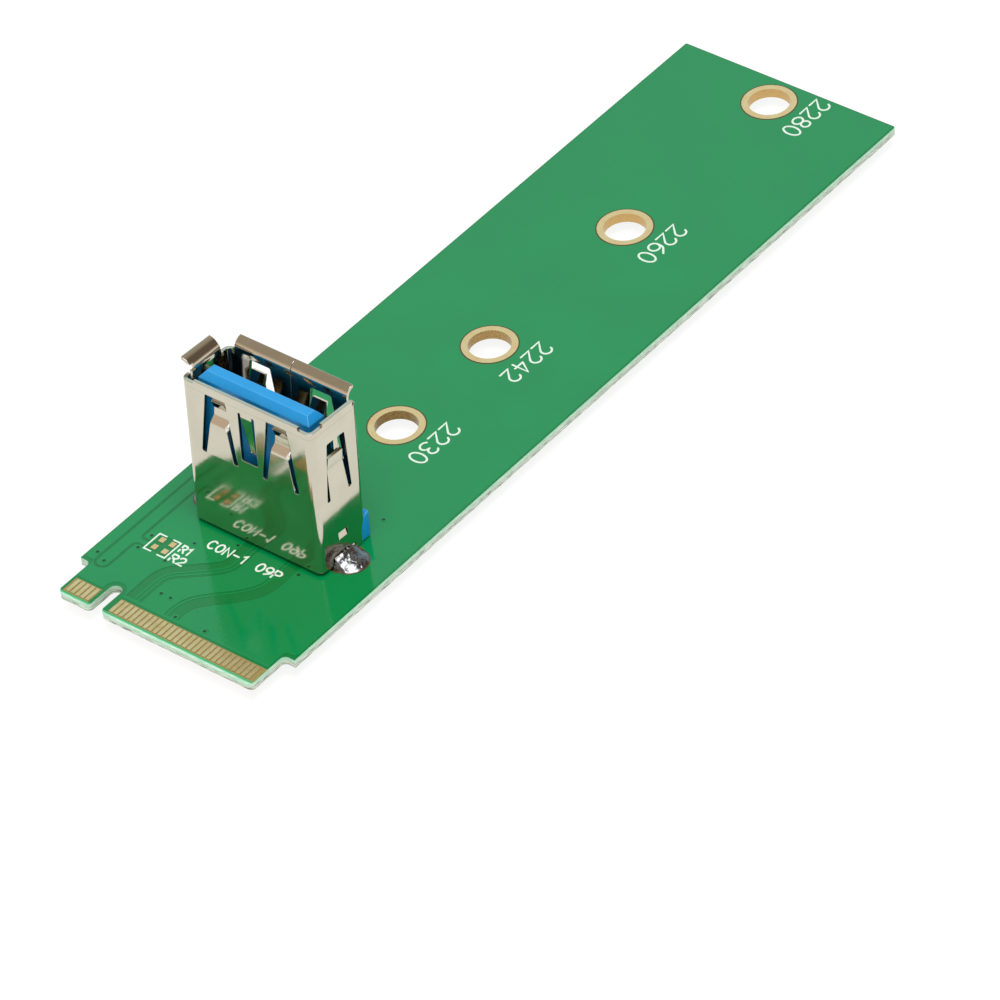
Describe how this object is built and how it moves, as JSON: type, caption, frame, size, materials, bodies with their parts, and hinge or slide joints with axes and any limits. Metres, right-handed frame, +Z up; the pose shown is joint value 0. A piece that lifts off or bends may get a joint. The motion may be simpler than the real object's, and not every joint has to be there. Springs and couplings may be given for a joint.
{
  "type": "slot card with upright usb socket",
  "caption": "Green keyed slot card with gold edge contacts, gold-ringed screw holes and an upright blue and nickel USB socket.",
  "frame": {"origin": "middle of the card edge's tip, on the underside of the board", "axes": "+X from the card edge to the far end, +Y towards the side with the key notch, +Z up through the screw holes and out of the socket"},
  "size_m": [0.0829, 0.022, 0.0169],
  "materials": {
    "solder_mask": "glossy solder mask over glass laminate",
    "gold_plate": "flash gold plating",
    "nickel_shell": "bright nickel plating",
    "blue_plastic": "smooth moulded",
    "tin_solder": "bright solder"
  },
  "bodies": {
    "root": {"circuit_board": "solder_mask", "contact_fingers_top": "gold_plate", "contact_fingers_bottom": "gold_plate", "screw_ring_30": "gold_plate", "screw_ring_42": "gold_plate", "screw_ring_60": "gold_plate", "screw_ring_80": "gold_plate", "pin_hole_plating": "gold_plate", "slot_plating_left": "gold_plate", "slot_plating_right": "gold_plate", "resistor_pads": "gold_plate", "connector_shell": "nickel_shell", "connector_housing": "blue_plastic", "power_contact": "gold_plate", "data_minus_contact": "gold_plate", "data_plus_contact": "gold_plate", "ground_contact": "gold_plate", "receive_minus_contact": "gold_plate", "receive_plus_contact": "gold_plate", "drain_contact": "gold_plate", "transmit_minus_contact": "gold_plate", "transmit_plus_contact": "gold_plate", "shell_joint_left": "tin_solder", "shell_joint_right": "tin_solder", "pin_joints": "tin_solder"}
  },
  "joints": []
}
